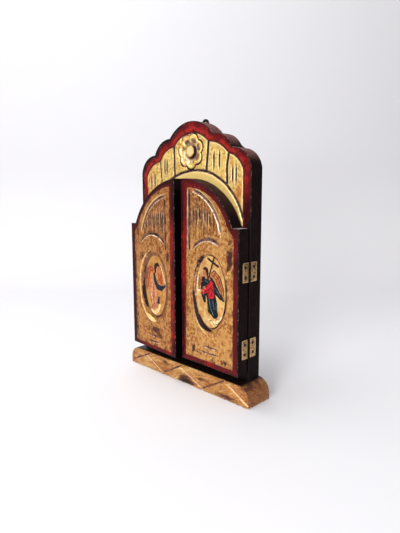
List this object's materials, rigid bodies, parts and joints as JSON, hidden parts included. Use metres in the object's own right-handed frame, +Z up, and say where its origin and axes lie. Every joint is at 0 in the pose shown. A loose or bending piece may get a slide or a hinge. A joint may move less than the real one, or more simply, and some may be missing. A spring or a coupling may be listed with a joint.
{
  "type": "triptych altarpiece",
  "caption": "Small carved and gilded wooden triptych icon: a lobed back board on a plinth bar, closed by hinged arched doors with painted oval medallions.",
  "frame": {"origin": "middle of the plinth's underside", "axes": "+Z up, the carved front faces -Y, +X to the right as the front is seen"},
  "size_m": [0.193, 0.044, 0.2969],
  "materials": {
    "gilded_plinth": "gold paint over red, rubbed with brown wax",
    "painted_board": "carved, gilded field, dark red border, black edges and back",
    "painted_door": "carved, gilded field with a painted oval, dark red border, black edges",
    "hinge_brass": "stamped sheet, dulled",
    "nail_steel": "dark, worn heads",
    "blackened_steel": "painted black with the back"
  },
  "bodies": {
    "case": {"plinth": "gilded_plinth", "back_board": "painted_board", "hanger_plate": "blackened_steel", "hanger_nail_1": "nail_steel", "hanger_nail_2": "nail_steel", "hinge_left_lower_board_leaf": "hinge_brass", "hinge_left_lower_board_nail_1": "nail_steel", "hinge_left_lower_board_nail_2": "nail_steel", "hinge_left_lower_pin": "hinge_brass", "hinge_left_upper_board_leaf": "hinge_brass", "hinge_left_upper_board_nail_1": "nail_steel", "hinge_left_upper_board_nail_2": "nail_steel", "hinge_left_upper_pin": "hinge_brass", "hinge_right_lower_board_leaf": "hinge_brass", "hinge_right_lower_board_nail_1": "nail_steel", "hinge_right_lower_board_nail_2": "nail_steel", "hinge_right_lower_pin": "hinge_brass", "hinge_right_upper_board_leaf": "hinge_brass", "hinge_right_upper_board_nail_1": "nail_steel", "hinge_right_upper_board_nail_2": "nail_steel", "hinge_right_upper_pin": "hinge_brass"},
    "left_door": {"door_left": "painted_door", "hinge_left_lower_door_leaf": "hinge_brass", "hinge_left_lower_door_nail_1": "nail_steel", "hinge_left_lower_door_nail_2": "nail_steel", "hinge_left_upper_door_leaf": "hinge_brass", "hinge_left_upper_door_nail_1": "nail_steel", "hinge_left_upper_door_nail_2": "nail_steel"},
    "right_door": {"door_right": "painted_door", "hinge_right_lower_door_leaf": "hinge_brass", "hinge_right_lower_door_nail_1": "nail_steel", "hinge_right_lower_door_nail_2": "nail_steel", "hinge_right_upper_door_leaf": "hinge_brass", "hinge_right_upper_door_nail_1": "nail_steel", "hinge_right_upper_door_nail_2": "nail_steel"}
  },
  "joints": [
    {"name": "left_door_hinge", "type": "hinge", "parent": "case", "child": "left_door", "pos_m": [-0.08605, -0.00464, 0.098], "axis": [0, 0, -1], "range_deg": [-5.06, 161.34]},
    {"name": "right_door_hinge", "type": "hinge", "parent": "case", "child": "right_door", "pos_m": [0.08605, -0.00464, 0.098], "axis": [0, 0, 1], "range_deg": [0, 166.4]}
  ]
}
